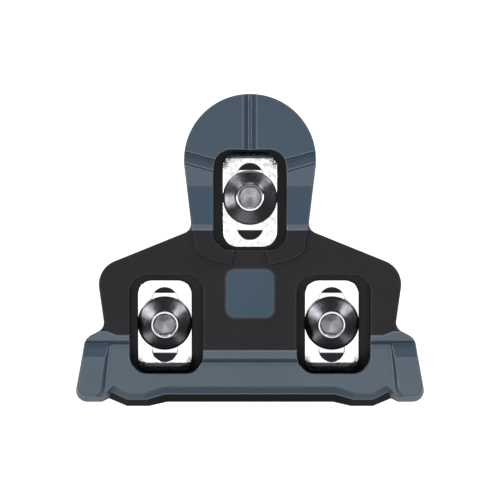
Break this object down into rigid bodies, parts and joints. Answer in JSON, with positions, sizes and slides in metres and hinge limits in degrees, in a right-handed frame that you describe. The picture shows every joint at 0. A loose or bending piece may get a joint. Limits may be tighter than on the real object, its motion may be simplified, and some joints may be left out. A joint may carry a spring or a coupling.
{
  "type": "clipless pedal cleat",
  "caption": "Three-bolt road pedal cleat: a black arched base with grey-blue tongue and rear ledge, slotted steel washers and hexagon socket bolts.",
  "frame": {"origin": "halfway along and across the cleat, at its lowest edge on the shoe side", "axes": "+Y points to the tongue, +Z to the pedal, +X to the right as the picture shows it"},
  "size_m": [0.0696, 0.0624, 0.0151],
  "materials": {
    "black_nylon": "fine satin moulded nylon",
    "grey_blue_nylon": "satin moulded polymer",
    "polished_steel": "bright plated, polished",
    "dark_bolt_steel": "turned cone, dark bright plating"
  },
  "bodies": {
    "base": {"core": "black_nylon", "front_cap": "grey_blue_nylon", "rear_cap": "grey_blue_nylon", "centre_tile": "grey_blue_nylon"},
    "front_washer_slide": {"front_washer": "polished_steel"},
    "front_bolt_slide": {"front_bolt": "dark_bolt_steel"},
    "left_washer_slide": {"left_washer": "polished_steel"},
    "left_bolt_slide": {"left_bolt": "dark_bolt_steel"},
    "right_washer_slide": {"right_washer": "polished_steel"},
    "right_bolt_slide": {"right_bolt": "dark_bolt_steel"}
  },
  "joints": [
    {"name": "front_washer_sideways", "type": "slide", "parent": "base", "child": "front_washer_slide", "axis": [1, 0, 0], "range_m": [-0.0016, 0.0016]},
    {"name": "front_bolt_lengthways", "type": "slide", "parent": "front_washer_slide", "child": "front_bolt_slide", "axis": [0, 0.9991, -0.0421], "range_m": [-0.00316, 0.00244]},
    {"name": "left_washer_sideways", "type": "slide", "parent": "base", "child": "left_washer_slide", "axis": [1, 0, 0], "range_m": [-0.00126, 0.00194]},
    {"name": "left_bolt_lengthways", "type": "slide", "parent": "left_washer_slide", "child": "left_bolt_slide", "axis": [0, 0.9755, 0.22], "range_m": [-0.0033, 0.0023]},
    {"name": "right_washer_sideways", "type": "slide", "parent": "base", "child": "right_washer_slide", "axis": [1, 0, 0], "range_m": [-0.00126, 0.00194]},
    {"name": "right_bolt_lengthways", "type": "slide", "parent": "right_washer_slide", "child": "right_bolt_slide", "axis": [0, 0.9755, 0.22], "range_m": [-0.0033, 0.0023]}
  ]
}
